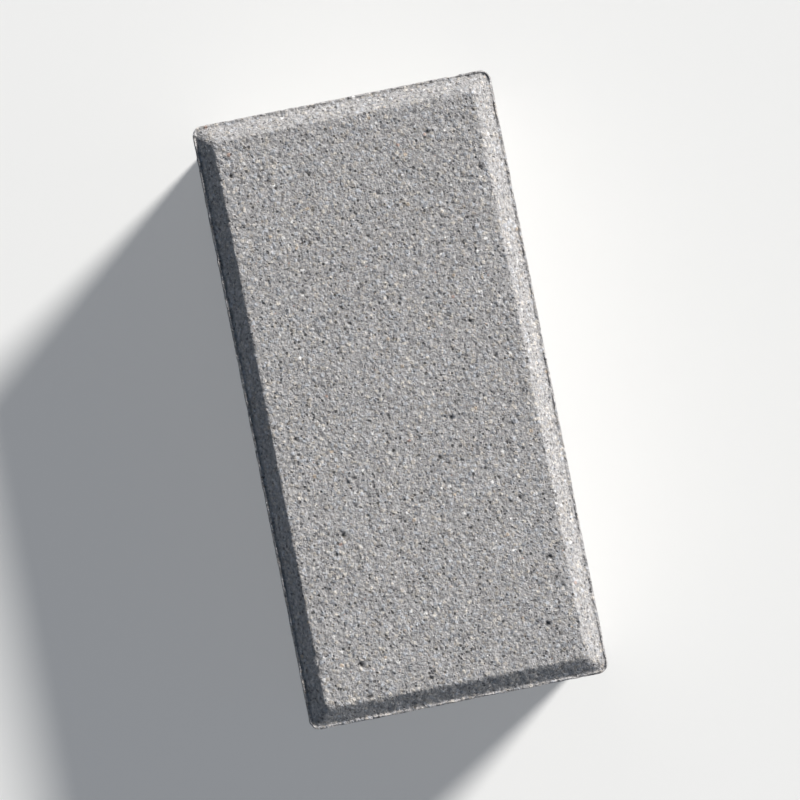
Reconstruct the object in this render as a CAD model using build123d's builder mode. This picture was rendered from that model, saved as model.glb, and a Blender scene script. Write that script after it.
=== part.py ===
"""One chamfered concrete paving stone, pressed in a steel mould as a single block."""

import os

from build123d import *

# Sizes, in millimetres. The stone lies flat: +X along it, +Z up, the origin in the
# middle of its bed face.
grid_length = 200.0  # from joint centre to joint centre, along the stone
grid_width = 100.0  # from joint centre to joint centre, across the stone
joint_width = 2.0  # the gap that laying leaves between two stones
stone_height = 80.0
side_corner_radius = 3.5  # of the four upright corners
rim_width = 1.2  # the narrow flat that the chamfer leaves all round
chamfer_run = 5.3  # the chamfer's width, seen from above
chamfer_drop = 4.8  # the chamfer's height, seen from the side
foot_corner_radius = 2.5  # where two chamfers meet at the rim
face_corner_radius = 2.0  # where two chamfers meet at the walking face

stone_length = grid_length - joint_width
stone_width = grid_width - joint_width
rim_height = stone_height - chamfer_drop
foot_length = stone_length - 2 * rim_width
foot_width = stone_width - 2 * rim_width
face_length = foot_length - 2 * chamfer_run
face_width = foot_width - 2 * chamfer_run

with BuildPart() as paving_stone:
    # The straight-sided block, from the bed face up to the rim.
    with BuildSketch(Plane.XY):
        RectangleRounded(stone_length, stone_width, side_corner_radius)
    extrude(amount=rim_height)

    # The chamfered crown, from its foot inside the rim up to the walking face. Its
    # sides are ruled, so that each corner is a narrow cone between two flat slopes.
    with BuildSketch(Plane.XY.offset(rim_height)):
        RectangleRounded(foot_length, foot_width, foot_corner_radius)
    with BuildSketch(Plane.XY.offset(stone_height)):
        RectangleRounded(face_length, face_width, face_corner_radius)
    loft(ruled=True)

paving_stone.part.label = "paving_stone"

os.makedirs("parts", exist_ok=True)
export_step(paving_stone.part, "parts/paving_stone.step")
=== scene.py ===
import math

import bpy
import numpy as np
from mathutils import Matrix, Vector


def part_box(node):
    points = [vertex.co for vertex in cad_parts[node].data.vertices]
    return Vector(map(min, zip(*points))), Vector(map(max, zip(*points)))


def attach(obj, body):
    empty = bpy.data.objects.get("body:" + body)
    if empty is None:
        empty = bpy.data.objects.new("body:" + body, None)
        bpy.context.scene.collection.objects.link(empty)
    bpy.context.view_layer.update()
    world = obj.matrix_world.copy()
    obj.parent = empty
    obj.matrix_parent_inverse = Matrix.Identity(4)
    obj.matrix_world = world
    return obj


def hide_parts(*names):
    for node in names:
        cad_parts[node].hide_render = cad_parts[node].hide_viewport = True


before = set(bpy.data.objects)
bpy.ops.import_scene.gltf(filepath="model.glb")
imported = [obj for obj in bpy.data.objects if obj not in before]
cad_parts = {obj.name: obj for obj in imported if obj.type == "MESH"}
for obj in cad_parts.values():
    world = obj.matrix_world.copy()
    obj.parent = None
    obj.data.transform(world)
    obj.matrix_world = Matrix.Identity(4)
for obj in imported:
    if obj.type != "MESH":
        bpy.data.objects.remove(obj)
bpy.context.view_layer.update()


# The stone's form. Earth-moist concrete is shaken and pressed into a steel mould, face up, and
# the mould is lifted off at once. A stamp with sloping edges gives the walking face and its
# chamfers, and squeezes a thin broken lip of mortar up beside itself, all round the rim.
mm = 0.001
lowest, highest = (np.array(corner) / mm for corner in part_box("paving_stone"))
stone_length, stone_width, stone_height = highest - lowest
side_corner_radius = 3.5
rim_width = 1.2
chamfer_run, chamfer_drop = 5.3, 4.8
foot_corner_radius, face_corner_radius = 2.5, 2.0
rim_height = stone_height - chamfer_drop
face_inset = rim_width + chamfer_run
chamfer_slope = math.atan2(chamfer_drop, chamfer_run)

arris_radius = 1.1  # the chamfer's upper edge is worn this round
rim_roll = 0.3  # the rim falls by this much towards its outer edge
rim_roll_start = 0.9  # and starts to fall this far inside it
bed_edge_radius = 0.6
face_grid_inset = 8.5  # the square-cornered grid of the walking face starts here
coarsen = 3  # one step on the sides is as long as three on the crown
face_steps_long, face_steps_short = 110 * coarsen, 49 * coarsen
side_row_height = 1.6


def contour(inset, radius, coarse=1):
    """A closed rounded rectangle, inset from the stone's outline, as points (x, y).

    Each of its four sides runs from the middle of one corner's arc to the middle of the next in
    equal steps. At a distance s along it, the heading has turned by a, which is the part of s
    that lies on an arc, divided by the radius. The point is then radius sin a past the end of
    the straight part, and radius cos a out from the arc's centre.
    """
    points = []
    spans = [(stone_length, stone_width, face_steps_long), (stone_width, stone_length, face_steps_short)]
    for quarter_turn in range(4):
        along, across, steps = spans[quarter_turn % 2]
        straight = along - 2 * inset - 2 * radius
        eighth = math.pi * radius / 4
        steps //= coarse
        s = np.arange(steps) / steps * (straight + 2 * eighth) - eighth
        a = (np.minimum(s, 0) + np.maximum(s - straight, 0)) / max(radius, 1e-9)
        forward = np.clip(s, 0, straight) - straight / 2 + radius * np.sin(a)
        out = across / 2 - inset - radius + radius * np.cos(a)
        heading = math.pi / 2 * quarter_turn
        points.append(np.stack([
            forward * math.cos(heading) + out * math.sin(heading),
            forward * math.sin(heading) - out * math.cos(heading),
        ], axis=1))
    return np.concatenate(points)


def grid(coarse=1):
    """The rectangular grid inside the innermost contour: its points (x, y), the places in it of
    its border points, in the same order as that contour's points, and its squares."""
    steps_long, steps_short = face_steps_long // coarse, face_steps_short // coarse
    x = np.linspace(-0.5, 0.5, steps_long + 1) * (stone_length - 2 * face_grid_inset)
    y = np.linspace(-0.5, 0.5, steps_short + 1) * (stone_width - 2 * face_grid_inset)
    points = np.stack(np.meshgrid(x, y, indexing="ij"), axis=-1).reshape(-1, 2)
    place = np.arange(len(points)).reshape(steps_long + 1, steps_short + 1)
    border = np.concatenate([place[:-1, 0], place[-1, :-1], place[:0:-1, -1], place[0, :0:-1]])
    squares = np.stack([place[:-1, :-1], place[1:, :-1], place[1:, 1:], place[:-1, 1:]], axis=-1)
    return points, border, squares.reshape(-1, 4)


def crown_profile():
    """The line from the walking face's grid out over the chamfer and the rim to the side, as
    rows (inset, height, corner radius). The arris is an arc that meets face and chamfer at its
    ends, so it starts radius tan(slope / 2) inside the edge of the plain face."""
    face_insets = (8.0, 7.5)
    arris_rows, chamfer_rows = 4, 10
    rim_insets = (1.05, 0.93, 0.82, 0.7, 0.55, 0.4, 0.25, 0.12, 0.0)
    rows = []
    for inset in face_insets:
        roundness = (face_grid_inset - inset) / (face_grid_inset - face_inset)
        rows.append((inset, stone_height, face_corner_radius * roundness))
    arc_start = face_inset + arris_radius * math.tan(chamfer_slope / 2)
    for a in np.linspace(0, chamfer_slope, arris_rows):
        rows.append((arc_start - arris_radius * math.sin(a),
                     stone_height - arris_radius * (1 - math.cos(a)), face_corner_radius))
    arc_end = np.array(rows[-1])
    foot = np.array([rim_width, rim_height, foot_corner_radius])
    for share in np.arange(1, chamfer_rows + 1) / chamfer_rows:
        rows.append(tuple(arc_end * (1 - share) + foot * share))
    for inset in rim_insets:
        fall = rim_roll * max(0, 1 - inset / rim_roll_start) ** 2
        rows.append((inset, rim_height - fall, side_corner_radius - inset))
    return rows


def side_profile():
    """The line from the rim down the side and round the lower edge to the bed face, as rows
    (inset, height, corner radius). The lower edge is a quarter circle."""
    top, bottom = rim_height - 0.7, bed_edge_radius + 0.8
    bed_edge_rows = 3
    bed_rows = [(2.0, 0.0, 2.5), (4.5, 0.0, 1.5)]
    side_rows = round((top - bottom) / side_row_height)
    rows = [(0.0, height, side_corner_radius) for height in np.linspace(top, bottom, side_rows)]
    for a in np.linspace(0, math.pi / 2, bed_edge_rows):
        rows.append((bed_edge_radius * (1 - math.cos(a)),
                     bed_edge_radius * (1 - math.sin(a)), side_corner_radius))
    return rows + bed_rows


def cast_form():
    """The whole closed surface: the face's grid, a ring of points for each row of the crown, a
    coarser ring for each row of the sides, and the bed face's grid. Each ring joins the one
    before it, and where the steps change one long step joins three short ones."""
    face_points, ring, face_squares = grid()
    points = [np.column_stack([face_points, np.full(len(face_points), stone_height)])]
    faces = [face_squares]
    made = len(face_points)
    for step, rows in ((1, crown_profile()), (coarsen, side_profile())):
        for inset, height, radius in rows:
            outline = contour(inset, radius, step)
            points.append(np.column_stack([outline, np.full(len(outline), height)]))
            below = made + np.arange(len(outline))
            made += len(outline)
            start, end = below, np.roll(below, -1)
            if len(ring) == len(below):
                faces.append(np.stack([np.roll(ring, -1), ring, start, end], axis=1))
            else:
                threes = [np.roll(ring, -k)[::coarsen] for k in range(coarsen, -1, -1)]
                faces.append(np.stack([*threes, start, end], axis=1))
            ring = below
    bed_points, bed_border, bed_squares = grid(coarsen)
    points.append(np.column_stack([bed_points, np.zeros(len(bed_points))]))
    bed_ring = made + bed_border
    faces.append(np.stack([np.roll(ring, -1), ring, bed_ring, np.roll(bed_ring, -1)], axis=1))
    faces.append(made + bed_squares[:, ::-1])
    return np.concatenate(points), [corners for group in faces for corners in group.tolist()]


def dice(cube, seed):
    """One random number from 0 to 1 for each cube, always the same for the same cube.

    The cube's three whole coordinates, each times a large prime, are mixed bit by bit. What is
    left over from dividing that by the number of sides says which side is up.
    """
    sides = 8192
    numbers = np.random.default_rng(seed).random(sides)
    mixed = cube[:, 0] * 73856093 ^ cube[:, 1] * 19349663 ^ cube[:, 2] * 83492791
    return numbers[mixed % sides]


def drift(points, size, seed):
    """Smooth random numbers from -1 to 1 that change over about one size.

    Space is cut into cubes of that size and each cube corner has a fixed random number. A point
    blends the numbers of its cube's eight corners by 3t^2 - 2t^3 of its place t between them.
    """
    scaled = points / size
    cube = np.floor(scaled).astype(np.int64)
    t = scaled - cube
    t = t * t * (3 - 2 * t)
    total = np.zeros(len(points))
    for corner in np.ndindex(2, 2, 2):
        share = np.prod(np.where(corner, t, 1 - t), axis=1)
        total += share * (2 * dice(cube + corner, seed) - 1)
    return total


def open_voids(points, normals, spacing, smallest, largest, seed):
    """How far trapped air has left the surface open at each point.

    Every cube of that spacing holds one bubble, at a random place and mostly small. A point at v
    from the centre of a bubble of radius r sinks along the inward normal to the bubble's far
    wall, which is v.n + sqrt(r^2 - |v|^2 + (v.n)^2) away.
    """
    cube = np.floor(points / spacing).astype(np.int64)
    depth = np.zeros(len(points))
    for beside in np.ndindex(3, 3, 3):
        here = cube + np.array(beside) - 1
        centre = np.stack([here[:, axis] + dice(here, seed + axis) for axis in range(3)], axis=1)
        radius = smallest + (largest - smallest) * dice(here, seed + 3) ** 3
        v = points - centre * spacing
        along = np.sum(v * normals, axis=1)
        inside = radius ** 2 - np.sum(v * v, axis=1)
        reach = along + np.sqrt(np.maximum(inside + along ** 2, 0))
        depth = np.maximum(depth, np.where(inside > 0, reach, 0))
    return depth


def sand_bumps(points, size, seed):
    """Rounded grains of about one size under the skin: 1 on top of a grain and 0 in the gaps.

    Every cube of that size holds one grain centre at a random place. The height is 1 less the
    squared distance to the nearest centre, in sizes, times 1.4.
    """
    cube = np.floor(points / size).astype(np.int64)
    nearest = np.full(len(points), 9.0)
    for beside in np.ndindex(3, 3, 3):
        here = cube + np.array(beside) - 1
        centre = np.stack([here[:, axis] + dice(here, seed + axis) for axis in range(3)], axis=1)
        nearest = np.minimum(nearest, np.sum((points / size - centre) ** 2, axis=1))
    return np.clip(1 - 1.4 * nearest, 0, 1)


def ramp(value, start, end):
    """0 up to start, 1 from end on, and 3t^2 - 2t^3 between them."""
    t = np.clip((value - start) / (end - start), 0, 1)
    return t * t * (3 - 2 * t)


points, faces = cast_form()
mesh = bpy.data.meshes.new("paving_stone_cast")
mesh.from_pydata((points * mm).tolist(), [], faces)
mesh.polygons.foreach_set("use_smooth", np.ones(len(mesh.polygons), dtype=bool))
normals = np.empty(len(points) * 3)
mesh.vertices.foreach_get("normal", normals)
normals = normals.reshape(-1, 3)

# How far each point lies inside the outline, and on which of the stone's surfaces. Beyond the
# centre of a corner's arc, that is the arc's radius less the distance from its centre.
beyond = np.abs(points[:, :2]) - np.array([stone_length, stone_width]) / 2 + side_corner_radius
inset = side_corner_radius - np.hypot(*np.maximum(beyond, 0).T) - np.minimum(beyond.max(axis=1), 0)
height = points[:, 2]
on_crown = ramp(height, rim_height - 0.5, rim_height - 0.1)
on_face = ramp(inset, face_inset - 0.7, face_inset + 0.5) * on_crown
on_chamfer = ramp(inset, rim_width - 0.1, rim_width + 0.3) * (1 - on_face) * on_crown
on_rim = on_crown * (1 - on_face) * (1 - on_chamfer)
on_bed = ramp(-height, -0.6, -0.1)
on_side = (1 - on_crown) * (1 - on_bed)

# Sand grains under the cement skin, and the gaps between them, on ground that swells a little.
grain_size, unevenness, swell_height = 1.9, 0.5, 0.04
grain_depth = 0.30 * on_face + 0.24 * on_chamfer + 0.18 * on_rim + 0.18 * on_side + 0.36 * on_bed
wander = np.stack([drift(points, size=0.9, seed=11 + axis) for axis in range(3)], axis=1)
warped = points + unevenness * wander
crumbs = 0.5 + 0.5 * drift(points, size=1.2, seed=24)
gaps = 1 - 0.6 * sand_bumps(warped, grain_size, seed=21) - 0.4 * crumbs
swell = 0.5 + 0.5 * drift(points, size=4.5, seed=25)
depth = grain_depth * gaps + swell_height * swell

# Open pores: many small ones on the walking face, few on the chamfers that the stamp smooths,
# and wider ones on the sides and the bed.
deepest_on_crown, deepest_elsewhere = 0.8, 1.2
face_voids = open_voids(warped, normals, spacing=3.4, smallest=0.15, largest=0.85, seed=31)
side_voids = open_voids(warped, normals, spacing=13.0, smallest=1.2, largest=3.0, seed=41)
bed_voids = open_voids(warped, normals, spacing=6.0, smallest=0.8, largest=2.2, seed=51)
void = (on_face + 0.4 * on_chamfer) * np.minimum(face_voids, deepest_on_crown)
void += (on_side * np.minimum(side_voids, deepest_elsewhere)
         + on_bed * np.minimum(bed_voids, deepest_elsewhere))
depth += void

# Small chips along the chamfer's upper edge and the lower edge of the block.
arris_chip_depth, arris_chip_reach = 0.55, 1.1
bed_chip_depth, bed_chip_reach = 1.3, 1.8
to_arris = np.hypot(inset - face_inset, height - stone_height)
to_bed_edge = np.hypot(inset, height)
crumble = drift(points, size=2.2, seed=61) + 0.7 * drift(points, size=7.0, seed=62)
crumble = ramp(crumble, 0.55, 1.4)
depth += arris_chip_depth * crumble * np.exp(-(to_arris / arris_chip_reach) ** 2)
depth += bed_chip_depth * crumble * np.exp(-(to_bed_edge / bed_chip_reach) ** 2)

# The side is a little ragged under the rim, where the mortar tore as the mould came off.
torn_depth, torn_height = 0.22, 3.0
torn = np.maximum(drift(points, size=1.6, seed=71) + 0.6 * drift(points, size=4.0, seed=72), 0)
torn *= ramp(height, rim_height - torn_height, rim_height - 0.2) * (1 - ramp(inset, 0.2, 0.6))
depth += torn_depth * torn

points = points - normals * depth[:, None]

# The lip stands on the outer half of the rim, in short lengths with gaps between them.
lip_height = 0.48
lip = 0.9 * drift(points, size=1.6, seed=85) + 0.35 * drift(points, size=5.0, seed=86)
lip = ramp(lip, -0.1, 0.3) * (0.75 + 0.25 * drift(points, size=1.0, seed=83))
lip *= ramp(inset, -0.1, 0.2) * (1 - ramp(inset, 0.45, 0.95)) * on_rim
points[:, 2] += lip_height * lip

points = np.clip(points, lowest, highest)
mesh.vertices.foreach_set("co", (points * mm).ravel())

# The material reads which surface a point lies on, and where a pore is open on the crown.
surfaces = {
    "chamfer": on_chamfer + 0.5 * on_rim,
    "side": on_side,
    "bed": on_bed,
    # The open pores on the crown get painted shade in the material.
    "void": ramp(void, 0.15, 0.8) * on_crown,
}
for name, values in surfaces.items():
    mesh.attributes.new(name, "FLOAT", "POINT").data.foreach_set("value", values)
mesh.update()
mesh.validate()

stone = bpy.data.objects.new("paving_stone_cast", mesh)
bpy.context.collection.objects.link(stone)
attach(stone, "root")
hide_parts("paving_stone")


# The concrete. Grey cement binds sand of many colours. The skin of cement veils most grains on
# the walking face, is smoother and paler where the stamp slid on the chamfers, and is drawn
# into upright streaks on the sides.
class Signal:
    """An output socket of a material's nodes. Arithmetic on it adds Math nodes."""

    def __init__(self, finish, socket):
        self.finish = finish
        self.socket = socket

    def math(self, operation, *values):
        return self.finish.node("ShaderNodeMath", {"operation": operation},
                                dict(enumerate(values)))

    def __add__(self, other):
        return self.math("ADD", self, other)

    def __radd__(self, other):
        return self.math("ADD", other, self)

    def __sub__(self, other):
        return self.math("SUBTRACT", self, other)

    def __rsub__(self, other):
        return self.math("SUBTRACT", other, self)

    def __mul__(self, other):
        return self.math("MULTIPLY", self, other)

    def __rmul__(self, other):
        return self.math("MULTIPLY", other, self)

    def __pow__(self, other):
        return self.math("POWER", self, other)

    def output(self, name):
        """Another output of the same node."""
        return Signal(self.finish, self.socket.node.outputs[name])


class Finish:
    """The nodes of one material, or of the world."""

    def __init__(self, owner, shader="Principled BSDF"):
        owner.use_nodes = True
        self.tree = owner.node_tree
        self.shader = self.tree.nodes[shader]

    def node(self, kind, settings, sockets, output=0):
        """Adds a node of that kind. Its settings are set first, then its sockets, each to a
        value or a link. A ramp's stops are pairs of place and colour."""
        node = self.tree.nodes.new(kind)
        for name, value in settings.items():
            if name == "stops":
                elements = node.color_ramp.elements
                while len(elements) < len(value):
                    elements.new(1.0)
                for element, (place, colour) in zip(elements, value):
                    element.position = place
                    element.color = (*colour, 1)
            elif name == "interpolation":
                node.color_ramp.interpolation = value
            else:
                setattr(node, name, value)
        self.fill(node, sockets)
        return Signal(self, node.outputs[output])

    def fill(self, node, sockets):
        """Sets a node's sockets, by name or number, each to a value or a link."""
        for name, value in sockets.items():
            if isinstance(value, Signal):
                self.tree.links.new(value.socket, node.inputs[name])
            else:
                node.inputs[name].default_value = value

    def mix(self, factor, first, second, blend="MIX"):
        """The first colour turned into the second by the factor. A Mix node keeps its two
        colours in the sockets 6 and 7, and gives their mix in the output 2."""
        colours = [c if isinstance(c, Signal) else (*c, 1) for c in (first, second)]
        return self.node("ShaderNodeMix", {"data_type": "RGBA", "blend_type": blend},
                         {0: factor, 6: colours[0], 7: colours[1]}, output=2)

    def step(self, value, start, end):
        """0 up to start, 1 from end on, smooth between them."""
        return self.node("ShaderNodeMapRange", {"interpolation_type": "SMOOTHSTEP"},
                         {0: value, 1: start, 2: end})

    def attribute(self, name):
        return self.node("ShaderNodeAttribute", {"attribute_name": name}, {}, "Fac")


mesh.materials.append(bpy.data.materials.new("concrete"))
concrete = Finish(mesh.materials[0])
here = concrete.node("ShaderNodeTexCoord", {}, {}, "Object")
here = concrete.node("ShaderNodeVectorMath", {"operation": "SCALE"}, {0: here, "Scale": 1 / mm})


def noise(size, detail=2.0, roughness=0.5, place=None):
    """Cloudy values round 0.5 that change over about one size, in millimetres."""
    return concrete.node("ShaderNodeTexNoise", {},
                         {"Vector": place or here, "Scale": 1 / size, "Detail": detail,
                          "Roughness": roughness})


def grains(size, place=None):
    """Cells of about one size: the distance from each cell's middle, in sizes."""
    return concrete.node("ShaderNodeTexVoronoi", {},
                         {"Vector": place or here, "Scale": 1 / size}, "Distance")


def one_of(cells, channel):
    """A random number from 0 to 1 for each cell, another one in each channel.

    The channels alone also say where the middle of the cell lies along X, Y and Z, so the
    number is thirteen times the channel, less its whole part.
    """
    share = concrete.node("ShaderNodeSeparateColor", {}, {0: cells.output("Color")}, channel)
    spread = 13 * share
    return spread.math("FRACT", spread)


chamfer = concrete.attribute("chamfer")
side = concrete.attribute("side")
bed = concrete.attribute("bed")
# Painted shade goes into the open pores on the crown.
void = concrete.attribute("void")

# Shifts each place a little, so that cells have uneven edges.
shift_size, shift = 0.7, 0.5
uneven = concrete.node("ShaderNodeTexNoise", {}, {"Vector": here, "Scale": 1 / shift_size}, "Color")
uneven = concrete.node("ShaderNodeVectorMath", {"operation": "SCALE"}, {0: uneven, "Scale": shift})
uneven = concrete.node("ShaderNodeVectorMath", {"operation": "ADD"}, {0: here, 1: uneven})

# Each cell is a grain of sand. One random number picks its colour, and another says how far it
# stands out of the cement, which hides the low ones.
sand_size, fine_sand_size = 1.25, 0.62
sand = grains(sand_size, uneven)
fine_sand = grains(fine_sand_size)
sand_dome = (1 - 1.4 * sand * sand) * (0.15 + 0.85 * one_of(sand, "Green"))
fine_dome = (1 - 1.4 * fine_sand * fine_sand) * (0.3 + 0.7 * one_of(fine_sand, "Green"))
sand_bare = concrete.step(sand_dome, 0.35, 0.7)
fine_bare = concrete.step(fine_dome, 0.4, 0.8)

# Hollows between the grains, and the uneven greys of the mix, from wide clouds to fine speckle.
# The hollows are also painted darker in the tone below, as shade in them.
hollow = concrete.step(noise(1.1, roughness=0.6), 0.62, 0.72)
clouds = noise(38.0, detail=3.0)
patches = noise(9.0, detail=3.0)
mottle = noise(1.2)
speckle = noise(0.8, detail=3.0, roughness=0.75)

# Fine pits between the grains, one in each cell, mostly tiny, with painted shade in them as well as
# relief.
pit_spacing = 1.5
pit_cells = grains(pit_spacing, uneven)
pit_radius = 0.1 + 0.5 * one_of(pit_cells, "Blue") ** 1.5
pit = concrete.step(pit_radius - pit_spacing * pit_cells, 0.0, 0.2)
pit = pit * (1 - 0.3 * chamfer - 0.45 * side)

# Crisp small pores on the sides and the bed, one in each cell, mostly tiny, with painted shade in them.
pore_spacing = 4.5
pore_cells = grains(pore_spacing, uneven)
pore_radius = 0.1 + 1.0 * one_of(pore_cells, "Blue") ** 3.0 + 0.5 * (mottle - 0.5)
pore = concrete.step(pore_radius - pore_spacing * pore_cells, 0.0, 0.4) * (side + bed)

# Upright streaks on the sides: the places are squeezed along the height.
lifted = concrete.node("ShaderNodeMapping", {}, {"Vector": here, "Scale": (1.0, 1.0, 0.04)})
streaks = noise(2.4, detail=4.0, roughness=0.75, place=lifted)

cement = (0.417, 0.405, 0.403)
sand_colours = [
    (0.00, (0.15, 0.147, 0.15)),
    (0.07, (0.24, 0.252, 0.275)),
    (0.24, (0.39, 0.355, 0.315)),
    (0.50, (0.415, 0.430, 0.462)),
    (0.78, (0.55, 0.508, 0.455)),
    (0.96, (0.76, 0.745, 0.73)),
    (0.987, (0.50, 0.40, 0.30)),
    (0.996, (0.38, 0.25, 0.20)),
    (0.999, (0.21, 0.25, 0.33)),
]


def sand_colour(cells):
    """The colour of the grain in each cell."""
    return concrete.node("ShaderNodeValToRGB", {"interpolation": "CONSTANT", "stops": sand_colours},
                         {0: one_of(cells, "Red")})


# Less sand shows through the cement on the chamfers, and least on the sides.
bare = 1 - 0.2 * chamfer - 0.5 * side
colour = concrete.mix(0.7 * fine_bare * bare, cement, sand_colour(fine_sand))
colour = concrete.mix(0.75 * sand_bare * bare, colour, sand_colour(sand))

# The tone that the colour is multiplied by. It is calmer on the sides than on the crown.
calm = 1 - 0.35 * side
tone = 0.985 + 0.11 * clouds + 0.09 * patches
tone = tone * (1 + 1.15 * calm * (mottle - 0.5)) * (1 + 1.6 * calm * (speckle - 0.5))
# Painted shade: the gaps between the grains are darker, and the tops of the grains lighter.
tone = tone * (0.90 + 0.20 * sand_dome + 0.10 * fine_dome)
tone = tone * (1 + 0.03 * chamfer) * (1 + side * (0.5 * streaks - 0.34))
# Painted shade: the hollows, the pits, the pores and the open pores on the crown are darkened.
tone = tone * (1 - 0.5 * hollow * calm) * (1 - 0.62 * pit) * (1 - 0.4 * void) * (1 - 0.5 * pore)
grey = concrete.node("ShaderNodeCombineColor", {}, {0: tone, 1: tone, 2: tone})
colour = concrete.mix(1.0, colour, grey, "MULTIPLY")

# The fine relief, in millimetres.
relief = 0.28 * sand_dome + 0.12 * fine_dome + 0.34 * speckle + 0.36 * mottle
relief = relief - 0.3 * hollow - 0.35 * pit
relief = relief + 0.35 * side * streaks - 0.8 * pore
bump = concrete.node("ShaderNodeBump", {}, {"Height": relief, "Distance": mm, "Strength": 1.0})
concrete.fill(concrete.shader, {
    "Base Color": colour,
    "Roughness": 0.86 + 0.10 * speckle,
    "Diffuse Roughness": 0.2,
    "Specular IOR Level": 0.25,
    "Normal": bump,
})


# Floor, light and camera. The camera looks straight down on the stone, turned as the photograph
# is, and the key light comes in low from the upper right of that view. The painted floor lies a
# hair's breadth under the stone and reaches out to where it meets the backdrop unseen.
floor_reach = 20.0
floor_gap = 0.05 * mm
floor_mesh = bpy.data.meshes.new("floor")
floor_corners = [(-1, -1), (1, -1), (1, 1), (-1, 1)]
floor_mesh.from_pydata([(x * floor_reach, y * floor_reach, -floor_gap) for x, y in floor_corners],
                       [], [(0, 1, 2, 3)])
floor = bpy.data.objects.new("floor", floor_mesh)
bpy.context.collection.objects.link(floor)
floor_mesh.materials.append(bpy.data.materials.new("floor_paint"))
floor_paint = Finish(floor_mesh.materials[0])


def shows_background(finish):
    """1 for the rays that show what lies behind the stone, and 0 for those that light it."""
    seen = finish.node("ShaderNodeLightPath", {}, {}, "Is Camera Ray")
    mirrored = seen.math("MAXIMUM", seen.output("Is Glossy Ray"), seen.output("Is Transmission Ray"))
    return seen.math("MAXIMUM", seen, mirrored)


floor_paint.fill(floor_paint.shader, {
    "Base Color": (0.66, 0.66, 0.65, 1),
    "Roughness": 1.0,
    "Specular IOR Level": 0.0,
    "Emission Color": floor_paint.mix(shows_background(floor_paint), (0, 0, 0), (0.22, 0.22, 0.22)),
    "Emission Strength": 1.0,
})

key_azimuth, key_elevation = math.radians(-54.5), math.radians(30.5)
key = bpy.data.objects.new("key", bpy.data.lights.new("key", "SUN"))
key.data.angle = math.radians(9.0)
key.data.energy = 5.53
key.data.color = (1.0, 0.98, 0.95)
to_key = Vector((math.cos(key_azimuth) * math.cos(key_elevation),
                 math.sin(key_azimuth) * math.cos(key_elevation), math.sin(key_elevation)))
key.rotation_euler = to_key.to_track_quat("Z", "Y").to_euler()
bpy.context.collection.objects.link(key)

# The studio glows softly all round, most near the floor and least overhead. What the camera
# sees of it is as pale as the floor.
bpy.context.scene.world = bpy.data.worlds.new("studio")
studio = Finish(bpy.context.scene.world, "Background")
overhead, low_down, backdrop = (0.014, 0.028, 0.048), (0.270, 0.320, 0.400), (0.846, 0.852, 0.846)
upward = studio.node("ShaderNodeTexCoord", {}, {}, "Generated")
upward = studio.node("ShaderNodeSeparateXYZ", {}, {0: upward}, "Z")
glow = studio.mix((1 - upward * upward) ** 4.0, overhead, low_down)
studio.fill(studio.shader, {
    "Color": studio.mix(shows_background(studio), glow, backdrop),
    "Strength": 1.0,
})

view_width = 0.256  # of the picture, in metres, at the height of the walking face
camera_turn = math.radians(-11.3)
camera = bpy.data.objects.new("camera", bpy.data.cameras.new("camera"))
camera.data.lens = 150
camera.data.sensor_width = 36
camera.data.clip_end = 50
camera_height = stone_height * mm + view_width * camera.data.lens / camera.data.sensor_width
up = Vector((math.cos(camera_turn), math.sin(camera_turn), 0))
right = Vector((up.y, -up.x, 0))
turned = Matrix((right, up, Vector((0, 0, 1)))).transposed()
camera.matrix_world = Matrix.Translation((0, 0, camera_height)) @ turned.to_4x4()
bpy.context.collection.objects.link(camera)
bpy.context.scene.camera = camera
bpy.context.scene.view_settings.view_transform = "Standard"
